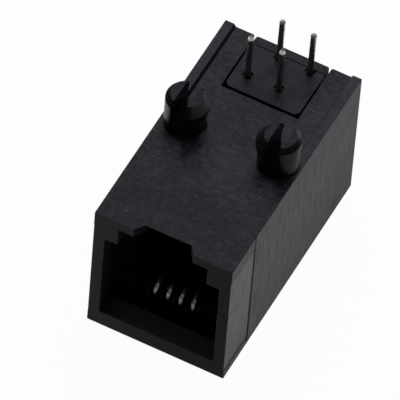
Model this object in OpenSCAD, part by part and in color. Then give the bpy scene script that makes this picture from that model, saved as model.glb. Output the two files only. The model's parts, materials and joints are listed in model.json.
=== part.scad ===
// Right-angle modular jack for a printed circuit board, lying with its board side up.
// Sizes are in millimetres. X runs across the mouth, Y from the mouth to the back, Z up.

/* [Housing] */
// Width across the mouth
body_w = 11.18; // [10.8:0.02:13]
// Length from the mouth to the back face
body_l = 20.6; // [19.5:0.1:26]
// Height from the resting face to the board face
body_h = 12.5; // [11.8:0.1:16]
// Radius of the long outside edges
edge_r = 0.03; // [0.02:0.01:0.4]
// Thickness of the side walls at the mouth
side_wall = 0.94; // [0.8:0.01:1.4]
// Thickness of the floor under the contact insert
floor_t = 1.25; // [0.9:0.05:1.4]
// Depth of the smooth panel on each side, beside the mouth
panel_d = 0.03; // [0.02:0.01:0.1]
// Length of that panel, from the mouth
panel_l = 3.78; // [2:0.02:6]
// Bare strip between that panel and the board face
panel_top = 1.4; // [0.8:0.1:3]
// Bare strip between that panel and the resting face
panel_bottom = 0.85; // [0.2:0.05:1]

/* [Mouth] */
// Height of the sill at the mouth
sill_h = 1.48; // [1.4:0.02:2.2]
// Length of the sill, from the mouth
sill_l = 1.75; // [1.2:0.05:2.2]
// Width of the plug guide behind the mouth
plug_w = 7.8; // [7.7:0.05:8.4]
// Start of the plug guide, from the mouth
guide_y = 2.8; // [2.4:0.1:3.4]
// Depth of the plug space, from the mouth
plug_l = 13; // [12:0.1:14]
// Thickness of the wall over the latch pocket
roof_t = 0.46; // [0.4:0.02:0.7]
// Thickness of that wall at its front edge, which is chamfered from below
roof_land = 0.06; // [0.04:0.01:0.2]
// Height of the latch slot above the shoulders
latch_h = 0.4; // [0.3:0.05:0.7]
// Width of the latch slot at the mouth
latch_w = 4.82; // [4.4:0.02:5.4]
// Width of the latch slot at its throat
throat_w = 3.72; // [3.4:0.02:4.2]
// Length of the notch that leads into the latch slot
notch_l = 0.78; // [0.5:0.01:1.4]
// Length of the two catches beside the latch slot
catch_l = 1.9; // [1.5:0.05:2.6]
// End of the latch pocket, from the mouth
latch_end = 8.6; // [7:0.1:9]
// Height of the shoulders above the main opening
shoulder_h = 1.71; // [1.4:0.01:2.1]
// Width between the shoulders
shoulder_w = 7.2; // [6.3:0.05:7.4]
// Depth of the space between the shoulders, from the mouth
shoulder_l = 11.2; // [9.5:0.1:11.8]

/* [Board face] */
// Depth of the rear part of the board face below the front part
recess_d = 0.25; // [0.15:0.05:0.5]
// Width of the top of the rail along each side of that part
rail_w = 0.7; // [0.5:0.02:1.2]
// Reach of a rail's sloping side, from its top edge to its foot
rail_slope = 0.2; // [0.05:0.05:0.3]

/* [Pegs] */
// Distance between the two board pegs
peg_pitch = 7.62; // [7:0.01:8]
// Distance from the pegs to the nearer row of tails
peg_to_tails = 6.35; // [5.8:0.01:7]
// Diameter of a peg
peg_d = 3.15; // [2.9:0.05:3.2]
// Height of a peg above the board face
peg_h = 3.15; // [2.6:0.05:3.6]
// Chamfer at the top of a peg
peg_chamfer = 0.38; // [0.2:0.01:0.5]
// Width of the slot that splits a peg
peg_slot = 1.08; // [0.8:0.02:1.2]
// Height of the web that joins the halves of a peg, above the board face
web_h = 1; // [0.6:0.1:1.6]
// Set-back of that web's flat front and back from the peg's side
web_in = 0.3; // [0.2:0.05:0.6]
// Reach of the snap lip beyond the peg's side
lip_out = 0.2; // [0.1:0.02:0.24]
// Height of the slope that leads the lip into the board
lip_lead = 0.8; // [0.5:0.05:1]
// Height of the lip's straight side
lip_land = 0.35; // [0.2:0.05:0.6]
// Height of the sloping underside of the lip
lip_slope = 0.55; // [0.3:0.05:0.8]
// Extra radius of a peg's tapered foot, where it stands in the lower part of the board face
foot_out = 0.1; // [0.05:0.01:0.2]

/* [Contacts] */
// Diameter of the contact wire
wire_d = 0.46; // [0.36:0.02:0.52]
// Pitch of the contact springs in the mouth
spring_pitch = 1.02; // [0.98:0.01:1.1]
// Sideways pitch of the solder tails
tail_pitch = 1.27; // [1.1:0.01:1.3]
// Distance between the two rows of tails
row_gap = 2.54; // [2.3:0.01:2.8]
// Distance from the rear row of tails to the back face
tail_in = 1.05; // [1:0.05:1.4]
// Height of the tails above the board face
tail_h = 4.25; // [3:0.05:5.5]
// Height of the point at the end of a tail
tail_point = 0.38; // [0.2:0.02:0.6]
// Radius of the point's blunt end
point_r = 0.06; // [0.02:0.01:0.12]
// Bend radius of a wire at the rear of the floor
heel_r = 0.6; // [0.5:0.05:1]
// Bend radius of a wire around the insert's nose
nose_r = 1; // [0.8:0.05:1.2]
// Foremost reach of the nose bend, from the mouth
nose_y = 2.55; // [2.3:0.05:3.4]
// Angle of the spring where it leaves the nose
spring_angle = 28; // [26:1:36]
// Bend radius at the knee of a spring
knee_r = 1.5; // [0.8:0.1:2.5]
// Drop from the main opening's ceiling to the knee
knee_drop = 3.3; // [2.6:0.1:4]
// Drop from the main opening's ceiling to the spring's end
tip_drop = 2; // [1.4:0.1:2.4]
// Reach of the spring's end into the comb slots
tip_in = 0.7; // [0.4:0.1:1]

/* [Contact insert] */
// Width of the insert
insert_w = 6; // [5.6:0.05:6.2]
// Gap on each side of the insert
side_gap = 0.15; // [0.05:0.01:0.25]
// Gap in front of the insert's tail block
front_gap = 0.25; // [0.1:0.01:0.4]
// Chamfer that leads the insert into its channel at the back face
lead_in = 0.1; // [0.05:0.05:0.3]
// Length of the tail block in front of the nearer row of tails
block_lead = 1.62; // [1.2:0.02:1.8]
// Chamfer on the tail block's front corners
block_chamfer = 0.3; // [0.1:0.05:0.5]
// Thickness of the wall of the tail block that the tails pass through
deck_t = 0.9; // [0.6:0.05:1.4]
// Clearance around a wire
wire_gap = 0.03; // [0.02:0.01:0.06]
// Clearance under the insert
seat_gap = 0.02; // [0.01:0.01:0.05]
// Diameter of the dimple around a tail
dimple_d = 0.8; // [0.7:0.02:0.9]
// Depth of that dimple
dimple_h = 0.22; // [0.1:0.02:0.4]
// Width of the skirt along each side of the insert
skirt_w = 0.5; // [0.4:0.05:0.6]
// Thickness of the ribs between the wires at the nose
rib_t = 0.28; // [0.2:0.02:0.3]
// Length of those ribs behind the nose bend's centre
rib_l = 1; // [0.6:0.1:1.6]
// Depth of the comb slots that guide the springs' ends
comb_l = 1.1; // [0.9:0.05:1.6]
// Bar above the comb slots
comb_bar = 0.8; // [0.5:0.05:1.2]
// Lower end of the comb slots, above the tongue
comb_foot = 0.6; // [0.3:0.1:1.2]

/* [Rear cover] */
// Thickness of the rear cover
cover_t = 0.77; // [0.6:0.01:0.8]
// Joint between the rear cover and the insert
cover_gap = 0.05; // [0.02:0.01:0.08]
// Radius of the rear cover's upright outside edges
cover_r = 0.2; // [0.1:0.05:0.5]

/* [Hidden] */
$fn = 48;

// Reach of a cutting shape beyond the face that it opens
over = 1;
// Reach of a joining shape into the shapes that it joins
lap = 0.1;
contact_count = 4;
wire_r = wire_d / 2;
hole_r = wire_r + wire_gap;
// Heights
latch_top = body_h - roof_t;
shoulder_top = latch_top - latch_h;
mouth_top = shoulder_top - shoulder_h;
recess_z = body_h - recess_d;
seat_z = floor_t + seat_gap;
wire_z = seat_z + wire_gap + wire_r;
core_bottom = wire_z + wire_r + wire_gap;
nose_z = wire_z + nose_r;
core_top = 2 * nose_z - core_bottom;
// Widths
mouth_w = body_w - 2 * side_wall;
recess_w = body_w - 2 * rail_w;
channel_w = insert_w + 2 * side_gap;
// Places along the jack, from the mouth
rear_row_y = body_l - tail_in;
front_row_y = rear_row_y - row_gap;
peg_y = front_row_y - peg_to_tails;
block_y = front_row_y - block_lead;
pocket_y = block_y - front_gap;
insert_back = body_l - cover_t - cover_gap;
upright_y = plug_l + seat_gap;
nose_centre_y = nose_y + wire_r + nose_r;
// Top of the upright behind the plug space, under the wall in front of the tail block's pocket
upright_top = mouth_top - seat_gap;

function tail_x(i) = (i - (contact_count - 1) / 2) * tail_pitch;
function spring_x(i) = (i - (contact_count - 1) / 2) * spring_pitch;
function row_y(i) = i % 2 == 0 ? front_row_y : rear_row_y;
function unit(v) = v / norm(v);

// Centre line of one contact: the tail, the run along the floor, the bend around the nose and the spring
nose_turn = 180 - spring_angle;
nose_corner_y = nose_centre_y - nose_r * tan(nose_turn / 2);
knee_z = mouth_top - knee_drop;
knee_y = nose_corner_y + (knee_z - wire_z) / tan(spring_angle);
tip_y = plug_l + tip_in;
tip_z = mouth_top - tip_drop;
tail_top = body_h + tail_h;
function contact_path(i) = [
    [tail_x(i), row_y(i), tail_top],
    [tail_x(i), row_y(i), wire_z],
    [spring_x(i), nose_corner_y, wire_z],
    [spring_x(i), knee_y, knee_z],
    [spring_x(i), tip_y, tip_z]
];
contact_bends = [heel_r, nose_r, knee_r];
// Extra radius of a wire at its bends, and the lap of a straight piece into a bend
bend_swell = 0.005;
bend_lap = 0.04;

// A box between two corners
module span(low, high) {
    translate(low)
        cube(high - low);
}

// A straight bar across the jack, centred on X
module bar(w, y0, y1, z0, z1) {
    span([-w / 2, y0, z0], [w / 2, y1, z1]);
}

// A shape drawn in X and Z, drawn out along Y
module along_y(y0, y1) {
    translate([0, y1, 0])
        rotate([90, 0, 0])
            linear_extrude(y1 - y0)
                children();
}

// A shape drawn in Y and Z, drawn out along X about the middle
module along_x(w) {
    translate([-w / 2, 0, 0])
        rotate([90, 0, 90])
            linear_extrude(w)
                children();
}

module rounded_box(w, h, r) {
    translate([-w / 2 + r, 0])
        square([w - 2 * r, h]);
    translate([-w / 2, r])
        square([w, h - 2 * r]);
    for (x = [-w / 2 + r, w / 2 - r], z = [r, h - r])
        translate([x, z])
            circle(r);
}

function turn_at(a, b, c) = acos(unit(b - a) * unit(c - b));
function setback(a, b, c, bend) = bend * tan(turn_at(a, b, c) / 2);

// Straight piece of wire between two points
module rod(from, to) {
    d = to - from;
    translate(from)
        rotate([0, acos(d.z / norm(d)), atan2(d.y, d.x)])
            cylinder(r = wire_r, h = norm(d));
}

// Bend of a wire at corner b, on its way from a to c: a hair thicker than the wire that runs into it
module elbow(a, b, c, bend) {
    u = unit(b - a);
    v = unit(c - b);
    inward = unit(v - (v * u) * u);
    axis = cross(-inward, u);
    centre = b - u * setback(a, b, c, bend) + inward * bend;
    multmatrix([
        [-inward.x, u.x, axis.x, centre.x],
        [-inward.y, u.y, axis.y, centre.y],
        [-inward.z, u.z, axis.z, centre.z]
    ])
        rotate_extrude(angle = turn_at(a, b, c))
            translate([bend, 0])
                circle(wire_r + bend_swell);
}

// Solder tail with a blunt point, standing on the heel bend
module tail(foot, height) {
    translate(foot)
        rotate_extrude()
            polygon([
                [0, 0], [wire_r, 0], [wire_r, height - tail_point], [point_r, height], [0, height]
            ]);
}

module contact(i) {
    path = contact_path(i);
    last = len(path) - 1;
    // How far each straight piece stops short of a corner, less its lap into the bend
    trim = [
        for (k = [1 : last - 1]) setback(path[k - 1], path[k], path[k + 1], contact_bends[k - 1]) - bend_lap
    ];
    color("silver") {
        tail(path[1] + [0, 0, trim[0]], tail_top - wire_z - trim[0]);
        for (k = [1 : last - 1]) {
            u = unit(path[k + 1] - path[k]);
            rod(path[k] + u * trim[k - 1], path[k + 1] - u * (k < last - 1 ? trim[k] : 0));
            elbow(path[k - 1], path[k], path[k + 1], contact_bends[k - 1]);
        }
    }
}

// Plan of the latch slot, from the mouth to the back of the catches
module latch_plan(back) {
    polygon([
        [-latch_w / 2, -over], [-latch_w / 2, 0], [-throat_w / 2, notch_l], [-throat_w / 2, back],
        [throat_w / 2, back], [throat_w / 2, notch_l], [latch_w / 2, 0], [latch_w / 2, -over]
    ]);
}

// Plan of the plug space, with the lead-in to the guide
module plug_plan() {
    guide_in = (mouth_w - plug_w) / 2;
    polygon([
        [-mouth_w / 2, -over], [-mouth_w / 2, guide_y],
        [-plug_w / 2, guide_y + guide_in], [-plug_w / 2, plug_l],
        [plug_w / 2, plug_l], [plug_w / 2, guide_y + guide_in],
        [mouth_w / 2, guide_y], [mouth_w / 2, -over]
    ]);
}

// Chamfer under the front edge of the roof, which leads the plug's latch in
module latch_lead() {
    chamfer_end = notch_l + roof_t - roof_land;
    along_x(throat_w)
        polygon([
            [0, core_top], [0, body_h - roof_land], [notch_l, body_h - roof_land],
            [chamfer_end, latch_top], [chamfer_end, core_top]
        ]);
}

module plug_space() {
    translate([0, 0, core_top])
        linear_extrude(mouth_top - core_top)
            plug_plan();
    bar(mouth_w, -over, guide_y, sill_h, mouth_top);
    bar(shoulder_w, -over, shoulder_l, core_top, shoulder_top);
    bar(shoulder_w, catch_l, latch_end, core_top, latch_top);
    translate([0, 0, core_top])
        linear_extrude(latch_top - core_top)
            latch_plan(catch_l);
    translate([0, 0, core_top])
        linear_extrude(body_h + over - core_top)
            latch_plan(notch_l);
    latch_lead();
}

// Plan of the pocket for the tail block, with its lead-in at the back face
module pocket_plan() {
    lead_w = channel_w + 2 * lead_in;
    polygon([
        [-channel_w / 2, pocket_y], [-channel_w / 2, body_l - lead_in], [-lead_w / 2, body_l],
        [-lead_w / 2, body_l + over], [lead_w / 2, body_l + over], [lead_w / 2, body_l],
        [channel_w / 2, body_l - lead_in], [channel_w / 2, pocket_y]
    ]);
}

// Space that the contact insert slides into from the back
module insert_channel() {
    bar(channel_w, sill_l, body_l + over, floor_t, mouth_top);
    translate([0, 0, floor_t])
        linear_extrude(body_h + over - floor_t)
            pocket_plan();
}

// One half of a peg, turned from its profile
module peg_half(side, profile) {
    intersection() {
        rotate_extrude()
            polygon(profile);
        translate([side * (peg_d + peg_slot) / 2, 0, 0])
            bar(peg_d, -peg_d, peg_d, 0, body_h + peg_h + over);
    }
}

// Split peg that snaps into the board: the half towards the middle has a lip
module peg(side) {
    base = recess_z - recess_d;
    top = body_h + peg_h;
    shank_r = peg_d / 2;
    foot_r = shank_r + foot_out;
    end_r = shank_r - peg_chamfer;
    lip_r = shank_r + lip_out;
    lip_top = top - lip_lead;
    lip_bottom = lip_top - lip_land - lip_slope;
    foot = [[0, base], [foot_r, base], [foot_r, recess_z], [shank_r, body_h]];
    end = [[end_r, top], [0, top]];
    translate([side * peg_pitch / 2, peg_y, 0]) {
        bar(peg_slot + 2 * lap, web_in - shank_r, shank_r - web_in, base, body_h + web_h);
        peg_half(side, concat(foot, [[shank_r, top - peg_chamfer]], end));
        peg_half(-side, concat(
            foot, [[shank_r, lip_bottom], [lip_r, lip_bottom + lip_slope], [lip_r, lip_top]], end
        ));
    }
}

// Lower rear part of the board face, between rails with sloping sides
module recess() {
    floor_w = recess_w - 2 * rail_slope;
    along_y(peg_y, body_l + over)
        polygon([
            [-recess_w / 2, body_h + over], [-recess_w / 2, body_h], [-floor_w / 2, recess_z],
            [floor_w / 2, recess_z], [recess_w / 2, body_h], [recess_w / 2, body_h + over]
        ]);
}

module housing() {
    color([0.13, 0.13, 0.14]) {
        difference() {
            along_y(0, body_l)
                rounded_box(body_w, body_h, edge_r);
            recess();
            plug_space();
            insert_channel();
            for (side = [-1, 1])
                translate([side * body_w / 2, 0, 0])
                    bar(2 * panel_d, -over, panel_l, panel_bottom, body_h - panel_top);
        }
        for (side = [-1, 1])
            peg(side);
    }
}

// Side view of the tongue, which is round at the nose; grow is its extra thickness below and in front
module tongue_side(grow, back) {
    r = nose_r - hole_r + grow;
    translate([nose_centre_y, nose_z])
        circle(r);
    translate([nose_centre_y, nose_z - r])
        square([back - nose_centre_y, core_top - nose_z + r]);
}

// Rib between two wires at the nose, level with the top of the tongue
module nose_rib() {
    rib_back = nose_centre_y + rib_l;
    intersection() {
        along_x(rib_t)
            tongue_side(hole_r + wire_r, rib_back);
        bar(insert_w, 0, rib_back + over, 0, core_top);
    }
}

// Plan of the tail block, with chamfered front corners
module block_plan() {
    polygon([
        [-insert_w / 2, insert_back], [-insert_w / 2, block_y + block_chamfer],
        [-insert_w / 2 + block_chamfer, block_y], [insert_w / 2 - block_chamfer, block_y],
        [insert_w / 2, block_y + block_chamfer], [insert_w / 2, insert_back]
    ]);
}

// Slots that a wire's tail drops into from the back, and the hole in the deck above them
module tail_way(i) {
    deck_z = recess_z - deck_t;
    translate([tail_x(i), 0, 0])
        bar(2 * hole_r, row_y(i), insert_back + over, 0, deck_z);
    translate([tail_x(i), 0, 0])
        bar(2 * hole_r, row_y(i) - heel_r, insert_back + over, 0, wire_z + heel_r);
    translate([tail_x(i), row_y(i), 0])
        cylinder(r = hole_r, h = recess_z + over);
    translate([tail_x(i), row_y(i), recess_z - dimple_h])
        cylinder(d = dimple_d, h = dimple_h + over);
}

module contact_insert() {
    skirt_x = (insert_w - skirt_w) / 2;
    color([0.16, 0.16, 0.17])
        difference() {
            union() {
                along_x(insert_w)
                    tongue_side(0, insert_back);
                for (side = [-1, 1])
                    translate([side * skirt_x, 0, 0])
                        bar(skirt_w, nose_centre_y, insert_back, seat_z, core_top);
                for (k = [0 : contact_count])
                    translate([(k - contact_count / 2) * spring_pitch, 0, 0])
                        nose_rib();
                bar(insert_w, upright_y, insert_back, core_bottom, upright_top);
                translate([0, 0, core_bottom])
                    linear_extrude(recess_z - core_bottom)
                        block_plan();
            }
            for (i = [0 : contact_count - 1]) {
                tail_way(i);
                translate([spring_x(i), 0, 0])
                    bar(2 * hole_r, plug_l, plug_l + comb_l, core_top + comb_foot, upright_top - comb_bar);
            }
        }
}

// Plate that closes the wire slots at the back
module rear_cover() {
    color([0.16, 0.16, 0.17])
        translate([0, 0, seat_z])
            linear_extrude(recess_z - seat_z) {
                translate([-insert_w / 2, body_l - cover_t])
                    square([insert_w, cover_t - cover_r]);
                translate([-insert_w / 2 + cover_r, body_l - cover_r])
                    square([insert_w - 2 * cover_r, cover_r]);
                for (side = [-1, 1])
                    translate([side * (insert_w / 2 - cover_r), body_l - cover_r])
                        circle(cover_r);
            }
}

// The origin is under the middle of the jack, on its resting face
module centred() {
    translate([0, -body_l / 2, 0])
        children();
}

centred() housing();
centred() contact_insert();
centred() rear_cover();
centred() contact(0);  // contact_1
centred() contact(1);  // contact_2
centred() contact(2);  // contact_3
centred() contact(3);  // contact_4
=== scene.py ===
"""Looks of a right-angle modular jack that lies with its board side up.

Meshes are in metres and places on the finishes in millimetres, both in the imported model's frame:
+X runs across the mouth, +Y from the mouth to the back, and +Z up from the resting face.
"""
import json
from math import pi, radians, tan

import bmesh
import bpy
from mathutils import Matrix, Vector


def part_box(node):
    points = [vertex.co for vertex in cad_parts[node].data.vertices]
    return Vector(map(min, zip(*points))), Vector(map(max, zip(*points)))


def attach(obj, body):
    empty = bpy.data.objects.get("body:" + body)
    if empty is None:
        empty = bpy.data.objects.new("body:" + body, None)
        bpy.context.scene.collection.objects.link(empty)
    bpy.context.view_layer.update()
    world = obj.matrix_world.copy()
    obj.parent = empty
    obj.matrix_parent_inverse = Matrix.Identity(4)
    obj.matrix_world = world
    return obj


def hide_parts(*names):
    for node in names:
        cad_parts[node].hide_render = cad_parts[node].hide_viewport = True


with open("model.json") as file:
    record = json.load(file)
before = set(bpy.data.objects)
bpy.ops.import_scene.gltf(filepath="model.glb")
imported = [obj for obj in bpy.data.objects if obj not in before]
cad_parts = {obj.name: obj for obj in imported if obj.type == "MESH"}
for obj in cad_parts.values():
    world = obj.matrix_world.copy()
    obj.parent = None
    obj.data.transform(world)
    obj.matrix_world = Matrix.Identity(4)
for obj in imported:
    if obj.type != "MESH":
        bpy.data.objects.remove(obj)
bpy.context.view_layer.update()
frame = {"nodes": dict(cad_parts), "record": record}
MM = 0.001

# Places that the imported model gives, in millimetres
body_low, body_high = [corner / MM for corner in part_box("housing")]
mounts = {mount["name"]: Vector(mount["pos_m"]) / MM for mount in frame["record"]["mounts"]}
MOUTH_Y = body_low.y
SIDE_X = body_high.x
PEG_TOP_Z = body_high.z
PEG_X, PEG_Y = mounts["peg_right"].xy
BOARD_Z = mounts["board_face"].z
REAR_ROW_Y = mounts["tails_rear_row"].y
POINT_TOP_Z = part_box("contact_1")[1].z / MM

# Other places on the housing, in millimetres; the board face steps down at the pegs' middle
STEP_Y = PEG_Y
RAIL_X = 4.89
MOUTH_HALF = 4.65
MOUTH_FLOOR_Z = 1.25
MOUTH_ROOF_Z = 12.46
SILL_Z = 1.48
SILL_END_Y = -8.5
PANEL_BACK_Y = MOUTH_Y + 3.78
PANEL_TOP_Z = 11.1
PANEL_FOOT_Z = 0.85
PANEL_DEPTH = 0.03


class Value:
    """One output of a material's nodes. Sums, products and powers of values add Math nodes."""

    def __init__(self, finish, socket):
        self.finish = finish
        self.socket = socket

    def math(self, operation, first, second=None):
        inputs = {0: first} if second is None else {0: first, 1: second}
        return self.finish.node("ShaderNodeMath", {"operation": operation}, inputs)

    def __add__(self, other):
        return self.math("ADD", self, other)

    def __radd__(self, other):
        return self.math("ADD", other, self)

    def __sub__(self, other):
        return self.math("SUBTRACT", self, other)

    def __rsub__(self, other):
        return self.math("SUBTRACT", other, self)

    def __mul__(self, other):
        return self.math("MULTIPLY", self, other)

    def __rmul__(self, other):
        return self.math("MULTIPLY", other, self)

    def __pow__(self, other):
        return self.math("POWER", self, other)

    def __abs__(self):
        return self.math("ABSOLUTE", self)

    def over(self, fade):
        """Rises smoothly from 0 at the first number of a fade to 1 at the second, whichever is larger."""
        settings = {"interpolation_type": "SMOOTHSTEP"}
        inputs = {"Value": self, "From Min": fade[0], "From Max": fade[1]}
        return self.finish.node("ShaderNodeMapRange", settings, inputs)

    def near(self, centre, width):
        """1 at the centre, and 0 from width away."""
        return abs(self - centre).over((width, 0))


class Nodes:
    """The nodes of a material or of the world."""

    def __init__(self, tree):
        self.tree = tree

    def node(self, kind, settings=None, inputs=None, output=0):
        """Adds a node, sets it up and gives back one of its outputs."""
        node = self.tree.nodes.new(kind)
        for name, setting in (settings or {}).items():
            setattr(node, name, setting)
        for name, value in (inputs or {}).items():
            self.feed(node.inputs[name], value)
        return Value(self, node.outputs[output])

    def feed(self, socket, value):
        """Links a value to a socket, or sets the socket to a number or colour."""
        if isinstance(value, Value):
            self.tree.links.new(value.socket, socket)
        else:
            socket.default_value = value

    def parts(self, vector):
        """The X, Y and Z of a vector."""
        return [self.node("ShaderNodeSeparateXYZ", inputs={0: vector}, output=i) for i in range(3)]

    def noise(self, place, waves, detail, roughness):
        """Noise from 0 to 1 with so many waves to a millimetre along X, Y and Z."""
        stretched = self.node("ShaderNodeVectorMath", {"operation": "MULTIPLY"}, {0: place, 1: waves})
        return self.node("ShaderNodeTexNoise", inputs={
            "Vector": stretched, "Scale": 1.0, "Detail": detail, "Roughness": roughness,
        })

    def blend(self, factor, first, second):
        """A colour between two colours."""
        settings = {"data_type": "RGBA"}
        return self.node("ShaderNodeMix", settings, {"Factor": factor, 6: first, 7: second}, output=2)

    def bump(self, height, distance):
        """A normal that follows a height."""
        return self.node("ShaderNodeBump", inputs={"Height": height, "Distance": distance, "Strength": 1.0})


class Finish(Nodes):
    """A material made of nodes around one Principled shader."""

    def __init__(self, name):
        self.material = bpy.data.materials.new(name)
        self.material.use_nodes = True
        super().__init__(self.material.node_tree)
        self.tree.nodes.clear()
        self.shader = self.tree.nodes.new("ShaderNodeBsdfPrincipled")
        self.surface = self.tree.nodes.new("ShaderNodeOutputMaterial").inputs["Surface"]
        self.tree.links.new(self.shader.outputs["BSDF"], self.surface)

    def set(self, **sockets):
        """Sets the shader's sockets, whose names have _ for each space."""
        for name, value in sockets.items():
            self.feed(self.shader.inputs[name.replace("_", " ")], value)

    def place(self):
        """The piece's own coordinates, in millimetres."""
        raw = self.node("ShaderNodeTexCoord", output="Object")
        return self.node("ShaderNodeVectorMath", {"operation": "SCALE"}, {0: raw, "Scale": 1 / MM})

    def wear_and_sheen(self):
        """1 on the rounded edges of a moulding."""
        return self.node("ShaderNodeAttribute", {"attribute_name": "wear_and_sheen"}, output="Fac")


class Spot:
    """Where a point of a piece lies, in millimetres, and how much its surface faces along X, Y and Z."""

    def __init__(self, finish):
        self.place = finish.place()
        self.x, self.y, self.z = finish.parts(self.place)
        normal = finish.node("ShaderNodeNewGeometry", output="Normal")
        self.across, self.along, self.up = [part * part for part in finish.parts(normal)]


def grey(level, blue=1.0):
    """A grey whose blue is so many times its red and green."""
    return level, level, level * blue, 1


# Shared by the finishes: the middle of a noise, white, and black plastic that shines little
MEAN = 0.5
WHITE = grey(1)
PLASTIC_IOR = 1.22
PLASTIC_ROUGH = 0.36
# A pale grey for specks, scuffs and wear, and for painted sheen on edges and peg slopes
PALE_WEAR_AND_SHEEN = grey(0.3)

# In each finish below, a pair of numbers is a fade: where it starts and where it is full

# Where the board face is lighter, and where its recess is darker with painted shade, and by how much
PEG_LIGHTER = 0.4
PEG_LIGHTER_Y = (-8, -0.5)
RIGHT_LIGHTER = 0.2
RIGHT_LIGHTER_X = (1, 4.5)
RIGHT_LIGHTER_Y = (9, 6)
LEFT_RAIL_LIGHTER = 0.25
LEFT_RAIL_X = (0.1 - RAIL_X, -RAIL_X)
RIGHT_RAIL_LIGHTER = 0.4
RIGHT_RAIL_X = (RAIL_X - 0.1, RAIL_X)
RIGHT_RAIL_Y = (7.5, 8.5)
RECESS_SHADE = 0.2


def lighter_board_patches(spot, recess):
    """How much lighter the board face is towards the pegs, on the right of its recess and on the rails."""
    face = PEG_LIGHTER * spot.y.over(PEG_LIGHTER_Y) * spot.up
    right = RIGHT_LIGHTER * spot.x.over(RIGHT_LIGHTER_X) * spot.y.over(RIGHT_LIGHTER_Y)
    left_rail = LEFT_RAIL_LIGHTER * spot.x.over(LEFT_RAIL_X)
    right_rail = RIGHT_RAIL_LIGHTER * spot.x.over(RIGHT_RAIL_X) * spot.y.over(RIGHT_RAIL_Y)
    # Over the recess the tone is lowered by RECESS_SHADE, a painted shade
    return face + (right + left_rail + right_rail - RECESS_SHADE) * recess


# Grain of the housing, and how light it makes the black
FLOW_WAVES = (2, 3, 3)
DRAW_WAVES = (5, 3.4, 0.35)
CLOUD_WAVES = (0.4, 0.4, 0.4)
FINE_WAVES = (6, 6, 6)
FINE_SHARE = 0.5
STREAK_SHARE = 1.1
RECESS_FADE = (STEP_Y - 0.02, STEP_Y + 0.02)
RECESS_CALM = 0.3
BLACK_TONE = 0.1
GRAIN_TONE = 3.2
SIDE_CALM = 0.7
STREAK_TONE = 0.4
CLOUD_TONE = 0.6


def housing_grain(finish, spot, fine):
    """Flow marks on the board face and draw streaks on the sides, and how light the black is with them."""
    flow = finish.noise(spot.place, FLOW_WAVES, detail=5, roughness=0.75) - MEAN
    drawn = finish.noise(spot.place, DRAW_WAVES, detail=3, roughness=0.55) - MEAN
    cloud = finish.noise(spot.place, CLOUD_WAVES, detail=3, roughness=0.5) - MEAN
    recess = spot.y.over(RECESS_FADE) * spot.up
    grain = flow * (1 - RECESS_CALM * recess) * spot.up + FINE_SHARE * (fine - MEAN)
    streaks = STREAK_SHARE * drawn * spot.across
    tone = BLACK_TONE + GRAIN_TONE * grain * (1 - SIDE_CALM * spot.across) + STREAK_TONE * streaks
    tone = tone + CLOUD_TONE * cloud * spot.up + lighter_board_patches(spot, recess)
    return grain + streaks, tone


# Side panels, the painted shade along the low steps round them, and a hairline across the front
PANEL_BACK_FADE = (PANEL_BACK_Y + 0.02, PANEL_BACK_Y - 0.1)
PANEL_TOP_FADE = (PANEL_TOP_Z + 0.03, PANEL_TOP_Z - 0.03)
PANEL_FOOT_FADE = (PANEL_FOOT_Z - 0.03, PANEL_FOOT_Z + 0.03)
PANEL_SHADE_Y = PANEL_BACK_Y - 0.08
PANEL_SHADE_WIDTH = 0.2
PANEL_SHADE_FADE = (PANEL_SHADE_Y + 0.1, PANEL_SHADE_Y)
PANEL_SHADE_DARK = 0.5
LINE_WIDTH = 0.07
HAIRLINE_Z = 7.2
HAIRLINE_FADE = (-9, -10)


def panel_and_lines(spot):
    """Masks of the side panels, and of the painted shade along their steps and a dark hairline across the
    front.
    """
    panel = spot.y.over(PANEL_BACK_FADE) * spot.z.over(PANEL_TOP_FADE)
    panel = panel * spot.z.over(PANEL_FOOT_FADE) * spot.across
    # Painted shade in the corners of the low steps at the back and top of each panel
    panel_shade = spot.y.near(PANEL_SHADE_Y, PANEL_SHADE_WIDTH) + spot.z.near(PANEL_TOP_Z, LINE_WIDTH) * spot.y.over(PANEL_SHADE_FADE)
    hairline = spot.z.near(HAIRLINE_Z, LINE_WIDTH) * (1 - spot.up) * spot.y.over(HAIRLINE_FADE)
    return panel, hairline + PANEL_SHADE_DARK * panel_shade * spot.across


# Pegs: their tops, and painted shade in their slots, up to a slanted edge on the web, and on their lead-in
# slopes
PEG_TOP_FADE = (PEG_TOP_Z - 0.15, PEG_TOP_Z - 0.05)
SLOT_SIDE_FADE = (0.56, 0.5)
SLOT_END_FADE = (1.6, 1.4)
MIDDLE_FADE = (-1, 1)
WEB_SLANT = 2
WEB_SHINE_FADE = (0.75, 0.5)
LEAD_IN_FADE = (12.9, 13)
LEAD_IN_SHADE = 0.7
# Lighter on the slopes, by wear and a painted highlight: the left peg's lip and the right peg's outer rim
LIP_LEFT_FADE = (-3.1, -2.8)
LIP_RIGHT_FADE = (-1.6, -1.9)
LIP_FRONT_FADE = (-1.3, -0.3)
LIP_SCUFF_AND_SHEEN = 0.5
RIM_X_FADE = (4.4, 4.7)
RIM_Y_FADE = (0.5, 0.9)
RIM_WEAR_AND_SHEEN = 0.2
RIM_GRAIN = 0.7


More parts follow.
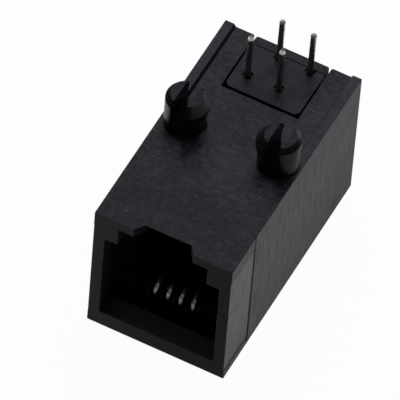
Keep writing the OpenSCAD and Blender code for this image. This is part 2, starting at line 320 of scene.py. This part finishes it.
def peg_masks(spot, slope, fine):
    """Masks of the pegs' tops, of painted shade in slots and slopes, and of wear and painted sheen there."""
    top = spot.z.over(PEG_TOP_FADE) * spot.up
    side = 2 * spot.x.over(MIDDLE_FADE) - 1
    from_peg = spot.x - PEG_X * side
    slot_shade = abs(abs(spot.x) - PEG_X).over(SLOT_SIDE_FADE) * abs(spot.y - PEG_Y).over(SLOT_END_FADE)
    slot_shade = slot_shade * (1 - top) * spot.up * (WEB_SLANT * from_peg + spot.y).over(WEB_SHINE_FADE)
    lead_in = spot.z.over(LEAD_IN_FADE) * slope
    lip = spot.x.over(LIP_LEFT_FADE) * spot.x.over(LIP_RIGHT_FADE) * spot.y.over(LIP_FRONT_FADE)
    rim = spot.x.over(RIM_X_FADE) * spot.y.over(RIM_Y_FADE)
    scuff_and_sheen = lead_in * (lip * (LIP_SCUFF_AND_SHEEN + fine) + rim * (RIM_WEAR_AND_SHEEN + RIM_GRAIN * fine))
    return top, slot_shade + LEAD_IN_SHADE * lead_in - scuff_and_sheen, scuff_and_sheen


# Mouth: its inside, painted in shade, and the sill and the jambs that show in it, painted lighter as if lit
MOUTH_SIDE_FADE = (MOUTH_HALF + 0.1, MOUTH_HALF + 0.05)
MOUTH_ROOF_FADE = (MOUTH_ROOF_Z, MOUTH_ROOF_Z - 0.05)
MOUTH_FLOOR_FADE = (MOUTH_FLOOR_Z - 0.1, MOUTH_FLOOR_Z)
MOUTH_BACK_FADE = (0, -0.5)
SILL_TOP_FADE = (SILL_Z + 0.1, SILL_Z + 0.05)
SILL_BACK_FADE = (SILL_END_Y, SILL_END_Y - 0.1)
SILL_LEFT_FADE = (-4.6, -2.5)
SILL_LEFT_SHARE = 0.4
JAMB_FADE = (-8.4, -10)


def mouth_masks(spot, front):
    """Masks of the mouth's inside, for painted shade, and in it of the sill and jambs, for painted light."""
    mouth = (1 - front) * abs(spot.x).over(MOUTH_SIDE_FADE) * spot.z.over(MOUTH_ROOF_FADE)
    mouth = mouth * spot.z.over(MOUTH_FLOOR_FADE) * spot.y.over(MOUTH_BACK_FADE)
    sill = mouth * spot.up * spot.z.over(SILL_TOP_FADE) * spot.y.over(SILL_BACK_FADE)
    # The sill's painted light fades towards the left, a painted shadow by the left jamb
    sill = sill * (SILL_LEFT_SHARE + (1 - SILL_LEFT_SHARE) * spot.x.over(SILL_LEFT_FADE))
    lit_jamb = mouth * spot.across * spot.y.over(JAMB_FADE)
    return mouth, sill, lit_jamb


# Specks that moulding and handling left on the board face: X, Y, radius
SPECKS = (
    (-3.88, -2.35, 0.2), (-3.52, -2.57, 0.22), (3.87, -2.55, 0.2), (4.03, -3.26, 0.15),
    (-3.64, -9.02, 0.16), (3.44, -8.83, 0.18), (2.52, -9.73, 0.14), (5.4, 8.34, 0.14),
)
SPECK_GRAIN = (0.42, 0.62)
# A scuff across the board face on both sides of the tail block
SCUFF_Y = 6.05
SCUFF_INSIDE_FADE = (3.1, 3.2)
SCUFF_OUTSIDE_FADE = (4.8, 4.6)
SCUFF_GRAIN = (0.4, 0.6)
SCUFF_SHARE = 0.6


def board_marks(spot, fine):
    """Pale specks and a scuff on the board face."""
    specks = sum(
        ((spot.x - x) ** 2 + (spot.y - y) ** 2).over((radius * radius, 0)) for x, y, radius in SPECKS
    )
    scuff = abs(spot.x).over(SCUFF_INSIDE_FADE) * abs(spot.x).over(SCUFF_OUTSIDE_FADE)
    scuff = scuff * spot.y.near(SCUFF_Y, LINE_WIDTH) * fine.over(SCUFF_GRAIN)
    return (specks * fine.over(SPECK_GRAIN) + SCUFF_SHARE * scuff) * spot.up


# Blacks of the housing, and what is lighter or darker than its plain black, partly as painted light and shade
DARKEST = grey(0.0006)
LIGHTEST = grey(0.048, 1.15)
SHADED_BLACK = grey(0.001)
WARM_BLACK = (0.014, 0.008, 0.01, 1)
PAINTED_LIGHT_BLACK = (0.16, 0.17, 0.21, 1)
SLOPE_LOW_FADE = (0.15, 0.25)
SLOPE_HIGH_FADE = (0.75, 0.65)
FRONT_FADE = (MOUTH_Y + 0.1, MOUTH_Y + 0.02)
WARM_FADE = (6, -6)
WARM_SHARE = 0.4
RAIL_INSIDE_FADE = (4.4, 4.5)
RAIL_OUTSIDE_FADE = (5.1, 5)
RAIL_FRONT_FADE = (STEP_Y - 0.1, STEP_Y)
JAMB_PAINTED_LIGHT = 0.12
RAIL_PAINTED_SHEEN = 0.3
EDGE_WEAR_AND_SHEEN = 0.3
MARKS_AND_SHEEN_PALE = 0.2
SCUFF_AND_SHEEN_PALE = 0.14
# Gloss of the housing
MOTTLE_ROUGH = 0.3
PANEL_POLISH = 0.11
SIDE_POLISH = 0.02
PEG_TOP_ROUGH = 0.2
SHADED_ROUGH = 0.6
GRAIN_HEIGHT = 0.014 * MM
PANEL_CALM = 0.8


def housing_plastic():
    """Black moulded plastic: mottled on the board face, drawn along the sides, with specks and paler edges.
    """
    finish = Finish("housing_plastic")
    spot = Spot(finish)
    fine = finish.noise(spot.place, FINE_WAVES, detail=3, roughness=0.6)
    mottle, tone = housing_grain(finish, spot, fine)
    panel, lines = panel_and_lines(spot)
    slope = spot.up.over(SLOPE_LOW_FADE) * spot.up.over(SLOPE_HIGH_FADE)
    peg_top, peg_shade, scuff_and_sheen = peg_masks(spot, slope, fine)
    front = spot.along * spot.y.over(FRONT_FADE)
    warm = front * (WARM_SHARE + (1 - WARM_SHARE) * spot.x.over(WARM_FADE))
    mouth, sill, lit_jamb = mouth_masks(spot, front)
    # Painted sheen on the sloped inner wall of the right rail
    rail_sheen = slope * spot.x.over(RAIL_INSIDE_FADE) * spot.x.over(RAIL_OUTSIDE_FADE)
    rail_sheen = rail_sheen * spot.y.over(RAIL_FRONT_FADE)
    dark = lines + peg_shade
    # Pale marks: specks and a scuff, and on the rounded edges wear with painted sheen
    marks = board_marks(spot, fine) + EDGE_WEAR_AND_SHEEN * finish.wear_and_sheen() * fine
    colour = finish.blend(tone, DARKEST, LIGHTEST)
    colour = finish.blend(warm, colour, WARM_BLACK)
    # Painted shade in the mouth; painted light on the sill and jambs; painted sheen on the right rail's slope
    colour = finish.blend(mouth, colour, SHADED_BLACK)
    colour = finish.blend(sill + JAMB_PAINTED_LIGHT * lit_jamb + RAIL_PAINTED_SHEEN * rail_sheen, colour, PAINTED_LIGHT_BLACK)
    colour = finish.blend(dark, colour, SHADED_BLACK)
    rough = PLASTIC_ROUGH + MOTTLE_ROUGH * mottle - PANEL_POLISH * panel - SIDE_POLISH * spot.across
    finish.set(
        Base_Color=finish.blend(MARKS_AND_SHEEN_PALE * marks + SCUFF_AND_SHEEN_PALE * scuff_and_sheen, colour, PALE_WEAR_AND_SHEEN),
        Roughness=rough + PEG_TOP_ROUGH * peg_top + SHADED_ROUGH * (dark + mouth - sill),
        IOR=PLASTIC_IOR,
        Normal=finish.bump(mottle * (1 - PANEL_CALM * panel), GRAIN_HEIGHT),
    )
    return finish.material


# Insert and rear cover, darker with painted shade and duller inside the housing than at the tail block
INSERT_CLOUD_WAVES = (0.8, 0.8, 0.8)
INSERT_FINE_WAVES = (5, 5, 5)
INSIDE_SHADE_FADE = (4.8, 4.3)
INSERT_TONE = 0.8
INSERT_GRAIN_TONE = 3
INSERT_DARKEST = (0.001, 0.0009, 0.0009, 1)
INSERT_LIGHTEST = (0.022, 0.019, 0.024, 1)
INSERT_EDGE_WEAR_AND_SHEEN = 0.05
INSERT_CLOUD_ROUGH = 0.1
INSIDE_ROUGH = 0.4
INSERT_CLOUD_HEIGHT = 0.6
INSERT_GRAIN_HEIGHT = 0.004 * MM


def insert_plastic():
    """Black plastic of the insert and the rear cover, a little smoother than the housing."""
    finish = Finish("insert_plastic")
    place = finish.place()
    cloud = finish.noise(place, INSERT_CLOUD_WAVES, detail=3, roughness=0.6)
    fine = finish.noise(place, INSERT_FINE_WAVES, detail=3, roughness=0.6)
    # Painted shade on the insert where it lies inside the housing
    inside = finish.parts(place)[1].over(INSIDE_SHADE_FADE)
    grain = INSERT_GRAIN_TONE * (cloud - MEAN) + INSERT_GRAIN_TONE * (fine - MEAN)
    plain = finish.blend((INSERT_TONE + grain) * (1 - inside), INSERT_DARKEST, INSERT_LIGHTEST)
    finish.set(
        Base_Color=finish.blend(INSERT_EDGE_WEAR_AND_SHEEN * finish.wear_and_sheen() * fine, plain, PALE_WEAR_AND_SHEEN),
        Roughness=PLASTIC_ROUGH + INSERT_CLOUD_ROUGH * cloud + INSIDE_ROUGH * inside,
        IOR=PLASTIC_IOR,
        Normal=finish.bump(fine + INSERT_CLOUD_HEIGHT * cloud, INSERT_GRAIN_HEIGHT),
    )
    return finish.material


# Wire: bright tails that are stained at their foot, dull points, rubbed noses and springs painted dark as
# shade
DRAW_LINE_WAVES = (16, 16, 1.2)
TARNISH_WAVES = (1.6, 1.6, 1.6)
TARNISH_FADE = (0.3, 0.7)
TAIL_FADE = (BOARD_Z - 0.5, BOARD_Z - 0.3)
STAIN_FADE = (BOARD_Z + 1.1, BOARD_Z + 0.1)
STAIN_SHARE = 0.6
SPRING_SHADE_FADE = (-7.2, -6.8)
NOSE_FADE = (3.15, 3.35)
REAR_ROW_FADE = (REAR_ROW_Y - 0.5, REAR_ROW_Y - 0.4)
DULL_FOOT_FADE = (POINT_TOP_Z - 0.45, POINT_TOP_Z - 0.35)
DULL_TOP_FADE = (POINT_TOP_Z - 0.11, POINT_TOP_Z - 0.25)
DULL_SHARE = 0.9
CUT_FADE = (POINT_TOP_Z - 0.12, POINT_TOP_Z - 0.06)
TARNISHED = (0.6, 0.58, 0.52, 1)
BRIGHT = (0.78, 0.77, 0.73, 1)
NOSE_UNDERSIDE = (0.24, 0.23, 0.21, 1)
NOSE_RUBBED = (0.7, 0.68, 0.64, 1)
DULL_POINT = (0.09, 0.09, 0.085, 1)
STAINED = (0.24, 0.22, 0.12, 1)
SPRING_PAINTED_SHADE = (0.08, 0.07, 0.04, 1)
TAIL_FILM = 0.02
STAIN_FILM = 0.08
WIRE_ROUGH = 0.16
TARNISH_ROUGH = 0.12
DRAW_LINE_ROUGH = 0.06
DRAW_LINE_HEIGHT = 0.0006 * MM


def plated_wire():
    """Plated copper-alloy wire with fine draw lines, and tinned tails that are stained at the board."""
    finish = Finish("plated_wire")
    place = finish.place()
    lines = finish.noise(place, DRAW_LINE_WAVES, detail=2, roughness=0.5)
    tarnish = finish.noise(place, TARNISH_WAVES, detail=2, roughness=0.5)
    y, z = finish.parts(place)[1:]
    tail = z.over(TAIL_FADE)
    stain = tail * z.over(STAIN_FADE)
    # Painted shade: the springs inside the mouth get a dark colour
    spring = y.over(SPRING_SHADE_FADE) * (1 - tail)
    rear_row = y.over(REAR_ROW_FADE)
    dull = rear_row * z.over(DULL_FOOT_FADE) * z.over(DULL_TOP_FADE)
    cut = (1 - rear_row) * z.over(CUT_FADE)
    tinned = finish.blend(tarnish.over(TARNISH_FADE), TARNISHED, BRIGHT)
    nose = finish.blend(z.over(NOSE_FADE), NOSE_UNDERSIDE, NOSE_RUBBED)
    plating = finish.blend(1 - tail, tinned, nose)
    plating = finish.blend(DULL_SHARE * dull + cut, plating, DULL_POINT)
    darker = finish.blend(spring, STAINED, SPRING_PAINTED_SHADE)
    finish.set(
        Base_Color=finish.blend(STAIN_SHARE * stain + spring, plating, darker),
        Metallic=1 - TAIL_FILM * tail - STAIN_FILM * stain,
        Roughness=WIRE_ROUGH + TARNISH_ROUGH * tarnish + DRAW_LINE_ROUGH * lines,
        Normal=finish.bump(lines, DRAW_LINE_HEIGHT),
    )
    return finish.material


def smooth_faces(bm, sharp_angle):
    """Smooth shading, broken only at the sharper edges."""
    for face in bm.faces:
        face.smooth = True
    for edge in bm.edges:
        edge.smooth = edge.calc_face_angle(0) < sharp_angle


def scene_object(name, bm, material):
    """Makes a bmesh an object of the scene with one material."""
    mesh = bpy.data.meshes.new(name)
    bm.to_mesh(mesh)
    bm.free()
    mesh.materials.append(material)
    made = bpy.data.objects.new(name, mesh)
    bpy.context.scene.collection.objects.link(made)
    return made


def piece(name, bm, node, material):
    """Makes a bmesh the shown piece that stands for a node."""
    made = scene_object(name, bm, material)
    even = made.modifiers.new("even_normals", "WEIGHTED_NORMAL")
    even.keep_sharp = True
    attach(made, "root")
    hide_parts(node)


# Edges of the mouldings: how they are found, in millimetres and radians, and how they are rounded, in metres
TOUCH = 0.01
EDGE_BAND = 0.2
PANEL_EDGE_X = SIDE_X - 1.5 * PANEL_DEPTH
CORNER_ANGLE = radians(40)
FLAT_ANGLE = radians(0.5)
SHARP_ANGLE = radians(35)
WELD = 0.001 * MM
HOUSING_ROUNDING = 0.025 * MM
RIM_ROUNDING = 0.06 * MM
INSERT_ROUNDING = 0.03 * MM
COVER_ROUNDING = 0.05 * MM


def middle_of(edge):
    """The middle of an edge, in millimetres."""
    return (edge.verts[0].co + edge.verts[1].co) / 2 / MM


def on_panel_step(edge):
    """True on the low step round a side panel, which is finer than the rounding."""
    middle = middle_of(edge)
    off = min(abs(middle.y - PANEL_BACK_Y), abs(middle.z - PANEL_TOP_Z), abs(middle.z - PANEL_FOOT_Z))
    return abs(middle.x) >= PANEL_EDGE_X and off < TOUCH


def on_mouth_rim(edge):
    """True on the edges round the mouth, inside the front face."""
    middle = middle_of(edge)
    inside = abs(middle.x) < SIDE_X - EDGE_BAND and EDGE_BAND < middle.z < BOARD_Z - EDGE_BAND
    return inside and all(abs(vert.co.y / MM - MOUTH_Y) < TOUCH for vert in edge.verts)


def solid_copy(node):
    """A copy of a node's solid with whole flat faces, and a layer to mark faces of wear and painted sheen."""
    bm = bmesh.new()
    bm.from_mesh(frame["nodes"][node].data)
    bmesh.ops.remove_doubles(bm, verts=bm.verts, dist=WELD)
    bmesh.ops.dissolve_limit(bm, angle_limit=FLAT_ANGLE, verts=bm.verts, edges=bm.edges)
    bm.faces.layers.float.new("wear_and_sheen")
    return bm


def outer_corners(bm):
    """The edges at which a moulding turns outwards."""
    return [edge for edge in bm.edges if edge.calc_face_angle_signed(0) > CORNER_ANGLE]


def round_edges(bm, edges, rounding):
    """Rounds edges of a moulding, and marks the new faces, which get paler wear and painted sheen."""
    rounds = bmesh.ops.bevel(
        bm, geom=edges, offset=rounding, offset_type="OFFSET", affect="EDGES", segments=2, profile=0.5,
        material=-1, clamp_overlap=False, loop_slide=True,
    )
    wear_and_sheen = bm.faces.layers.float["wear_and_sheen"]
    for face in rounds["faces"]:
        face[wear_and_sheen] = 1


def make_housing(material):
    """The housing, with a softer rim round its mouth."""
    bm = solid_copy("housing")
    round_edges(bm, [edge for edge in bm.edges if on_mouth_rim(edge)], RIM_ROUNDING)
    round_edges(bm, [edge for edge in outer_corners(bm) if not on_panel_step(edge)], HOUSING_ROUNDING)
    smooth_faces(bm, SHARP_ANGLE)
    piece("housing_moulding", bm, "housing", material)


# Two low ribs that hold the insert in its channel, in metres: their middle, reach, length and height
RIB_X = 3.05 * MM
RIB_Y = 9.1 * MM
RIB_Z = 6.15 * MM
RIB_REACH = 0.21 * MM
RIB_LENGTH = 0.4 * MM
RIB_HEIGHT = 9.7 * MM


def add_holding_ribs(bm):
    """Adds the ribs that close the gap between the insert and its channel."""
    size = Matrix.Diagonal((RIB_REACH, RIB_LENGTH, RIB_HEIGHT, 1))
    for side in (-1, 1):
        middle = Matrix.Translation((side * RIB_X, RIB_Y, RIB_Z))
        bmesh.ops.create_cube(bm, size=1, matrix=middle @ size)


def make_insert(material):
    """The insert that carries the contacts, with its holding ribs."""
    bm = solid_copy("contact_insert")
    round_edges(bm, outer_corners(bm), INSERT_ROUNDING)
    add_holding_ribs(bm)
    smooth_faces(bm, SHARP_ANGLE)
    piece("insert_moulding", bm, "contact_insert", material)


def make_rear_cover(material):
    """The plate behind the tail block."""
    bm = solid_copy("rear_cover")
    round_edges(bm, outer_corners(bm), COVER_ROUNDING)
    smooth_faces(bm, SHARP_ANGLE)
    piece("cover_plate", bm, "rear_cover", material)


# Wire sizes, in metres and radians, in the order in which a wire is bent
CONTACT_COUNT = 4
WIRE_SIDES = 32
WIRE_SHARP_ANGLE = radians(20)
POINT_R = 0.06 * MM
POINT_H = 0.38 * MM
WIRE_R = 0.23 * MM
HEEL_R = 0.6 * MM
NOSE_R = 1 * MM
KNEE_R = 1.5 * MM
SPRING_ANGLE = radians(28)
KNEE_Z = 6.63 * MM
END_Y = (MOUTH_Y + 13.7) * MM
END_Z = 7.93 * MM
BEND_STEP = radians(6)


def drawn_out(bm, ring, move, size=1.0):
    """Draws a ring of edges out along a line, and gives back the ring at its end."""
    made = bmesh.ops.extrude_edge_only(bm, edges=ring)["geom"]
    verts = [part for part in made if isinstance(part, bmesh.types.BMVert)]
    centre = sum((vert.co for vert in verts), Vector()) / len(verts)
    bmesh.ops.scale(bm, verts=verts, vec=Vector((size, size, size)), space=Matrix.Translation(-centre))
    bmesh.ops.translate(bm, verts=verts, vec=move)
    edges = [part for part in made if isinstance(part, bmesh.types.BMEdge)]
    return [edge for edge in edges if all(vert in verts for vert in edge.verts)]


def bent(bm, ring, centre, axis, angle):
    """Turns a ring of edges about a bend's centre, and gives back the ring at its end."""
    steps = round(angle / BEND_STEP)
    turned = bmesh.ops.spin(bm, geom=ring, cent=centre, axis=axis, angle=angle, steps=steps, use_merge=False)
    return [part for part in turned["geom_last"] if isinstance(part, bmesh.types.BMEdge)]


def bent_wire(corners, bends):
    """A round wire with a point at its start, which follows a line of corners with a bend at each."""
    bm = bmesh.new()
    start = Matrix.Translation(corners[0])
    bmesh.ops.create_circle(bm, cap_ends=True, segments=WIRE_SIDES, radius=POINT_R, matrix=start)
    heading = (corners[1] - corners[0]).normalized()
    ring = drawn_out(bm, list(bm.edges), heading * POINT_H, WIRE_R / POINT_R)
    here = corners[0] + heading * POINT_H
    for corner, after, radius in zip(corners[1:], corners[2:], bends):
        leaving = (after - corner).normalized()
        angle = heading.angle(leaving)
        bend_start = corner - heading * radius * tan(angle / 2)
        ring = drawn_out(bm, ring, bend_start - here)
        inward = (leaving - heading * leaving.dot(heading)).normalized()
        axis = heading.cross(leaving).normalized()
        ring = bent(bm, ring, bend_start + inward * radius, axis, angle)
        here = corner + leaving * radius * tan(angle / 2)
        heading = leaving
    ring = drawn_out(bm, ring, corners[-1] - here)
    bmesh.ops.holes_fill(bm, edges=ring, sides=0)
    bmesh.ops.recalc_face_normals(bm, faces=bm.faces)
    smooth_faces(bm, WIRE_SHARP_ANGLE)
    return bm


def contact_corners(node):
    """Corners of one contact's line, from the point of its tail to the end of its spring."""
    low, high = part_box(node)
    near_x, far_x = sorted((low.x, high.x), key=abs)
    side = 1 if far_x > 0 else -1
    tail_x = far_x - side * WIRE_R
    spring_x = near_x + side * WIRE_R
    tail_y = high.y - WIRE_R
    floor_z = low.z + WIRE_R
    nose_y = low.y + WIRE_R + NOSE_R - NOSE_R * tan((pi - SPRING_ANGLE) / 2)
    knee_y = nose_y + (KNEE_Z - floor_z) / tan(SPRING_ANGLE)
    return [
        Vector((tail_x, tail_y, high.z)),
        Vector((tail_x, tail_y, floor_z)),
        Vector((spring_x, nose_y, floor_z)),
        Vector((spring_x, knee_y, KNEE_Z)),
        Vector((spring_x, END_Y, END_Z)),
    ]


def make_contacts(material):
    """The four bent wires."""
    for number in range(1, CONTACT_COUNT + 1):
        node = f"contact_{number}"
        wire = bent_wire(contact_corners(node), (HEEL_R, NOSE_R, KNEE_R))
        piece(f"contact_wire_{number}", wire, node, material)


# Camera at the photograph's angle: turns in radians, places in metres, lens and sensor in millimetres
AZIMUTH = radians(23.439)
ELEVATION = radians(51.648)
ROLL = radians(4.98)
AIM = Vector((-1.415, -1.157, 6.486)) * MM
DISTANCE = 799.2 * MM
LENS = 988.4
SENSOR_WIDTH = 36


def make_camera():
    """A camera with a long lens that looks down at the mouth from the right."""
    data = bpy.data.cameras.new("camera")
    data.lens = LENS
    data.sensor_width = SENSOR_WIDTH
    camera = bpy.data.objects.new("camera", data)
    turn = Matrix.Rotation(AZIMUTH, 4, "Z") @ Matrix.Rotation(pi / 2 - ELEVATION, 4, "X")
    back = Matrix.Translation((0, 0, DISTANCE)) @ Matrix.Rotation(ROLL, 4, "Z")
    camera.matrix_world = Matrix.Translation(AIM) @ turn @ back
    bpy.context.scene.collection.objects.link(camera)
    bpy.context.scene.camera = camera


# Lamps: name, direction from the jack, width and height in metres, brightness, colour
LAMPS = (
    ("rear_softbox", (-0.25, 0.57, 0.78), 0.4, 0.4, 1.6, (0.86, 0.89, 1)),
    ("front_bar", (-0.1, -0.98, 0.1), 0.4, 0.05, 0.9, (1, 1, 1)),
    ("front_card", (-0.1, -0.8, 0.6), 0.16, 0.03, 0.8, (1, 1, 1)),
    ("right_card", (0.7, -0.66, 0.25), 0.06, 0.16, 0.6, (1, 1, 1)),
)
LAMP_DISTANCE = 0.4


def make_lamp(name, direction, width, height, brightness, colour):
    """A flat lamp that faces the jack from a direction, with the given brightness of its surface."""
    data = bpy.data.lights.new(name, "AREA")
    data.shape = "RECTANGLE"
    data.size = width
    data.size_y = height
    data.energy = brightness * pi * width * height
    data.color = colour
    lamp = bpy.data.objects.new(name, data)
    toward = Vector(direction).normalized()
    turn = toward.to_track_quat("Z", "Y").to_matrix().to_4x4()
    lamp.matrix_world = Matrix.Translation(toward * LAMP_DISTANCE) @ turn
    bpy.context.scene.collection.objects.link(lamp)


# Room round the jack: pale where a direction leads to the back and up, and dark elsewhere
ROOM_BACK_FADE = (-0.2, 0.35)
ROOM_UP_FADE = (0.15, 0.5)
PALE_ROOM = (0.55, 0.57, 0.62, 1)
DARK_ROOM = grey(0.012)


def make_world():
    """A studio that lights and mirrors as a room does, and looks white to the camera."""
    world = bpy.data.worlds.new("studio")
    world.use_nodes = True
    bpy.context.scene.world = world
    sky = Nodes(world.node_tree)
    y, z = sky.parts(sky.node("ShaderNodeTexCoord", output="Generated"))[1:]
    room = sky.blend(y.over(ROOM_BACK_FADE) * z.over(ROOM_UP_FADE), DARK_ROOM, PALE_ROOM)
    camera = sky.node("ShaderNodeLightPath", output="Is Camera Ray")
    background = world.node_tree.nodes["Background"]
    sky.feed(background.inputs["Color"], sky.blend(camera, room, WHITE))


# Floor: half its width in metres, its grey, and the share of plain white in what the camera sees
FLOOR_HALF = 2
FLOOR_GREY = grey(0.6)
FLOOR_ROUGH = 0.9
PLAIN_WHITE = 0.965
# What the jack mirrors of it: duller in front of the mouth, white to the left and behind
DULL_MIRROR = grey(0.42, 1.03)
CLEAR_MIRROR = grey(0.62, 1.03)
CLEAR_LEFT_FADE = (3, -8)
CLEAR_RIGHT_FADE = (4.5, 8)
WHITE_LEFT_X = (-6, -9)
WHITE_LEFT_Y = (-10, -7)
WHITE_BACK_X = (5, 3)
WHITE_BACK_Y = (11, 14)


def make_floor():
    """A white floor with a soft shadow of the jack."""
    finish = Finish("floor_white")
    ray_kinds = ("Is Camera Ray", "Is Glossy Ray", "Is Transmission Ray")
    camera, glossy, through = [finish.node("ShaderNodeLightPath", output=kind) for kind in ray_kinds]
    finish.set(
        Base_Color=finish.blend(camera, FLOOR_GREY, WHITE),
        Roughness=FLOOR_ROUGH,
        Specular_IOR_Level=0.0,
    )
    x, y = finish.parts(finish.place())[:2]
    clear = x.over(CLEAR_LEFT_FADE) + x.over(CLEAR_RIGHT_FADE)
    white = x.over(WHITE_LEFT_X) * y.over(WHITE_LEFT_Y) + x.over(WHITE_BACK_X) * y.over(WHITE_BACK_Y)
    mirrored = finish.blend(white, finish.blend(clear, DULL_MIRROR, CLEAR_MIRROR), WHITE)
    glow = finish.node("ShaderNodeEmission", inputs={
        "Color": finish.blend(camera, mirrored, WHITE), "Strength": 1.0,
    })
    lit = Value(finish, finish.shader.outputs["BSDF"])
    plain = PLAIN_WHITE * camera + glossy + through
    finish.feed(finish.surface, finish.node("ShaderNodeMixShader", inputs={0: plain, 1: lit, 2: glow}))
    bm = bmesh.new()
    bmesh.ops.create_grid(bm, x_segments=1, y_segments=1, size=FLOOR_HALF)
    scene_object("floor", bm, finish.material)


smoother_black = insert_plastic()
make_housing(housing_plastic())
make_insert(smoother_black)
make_rear_cover(smoother_black)
make_contacts(plated_wire())
make_camera()
make_world()
make_floor()
for lamp in LAMPS:
    make_lamp(*lamp)
bpy.context.scene.view_settings.view_transform = "Standard"
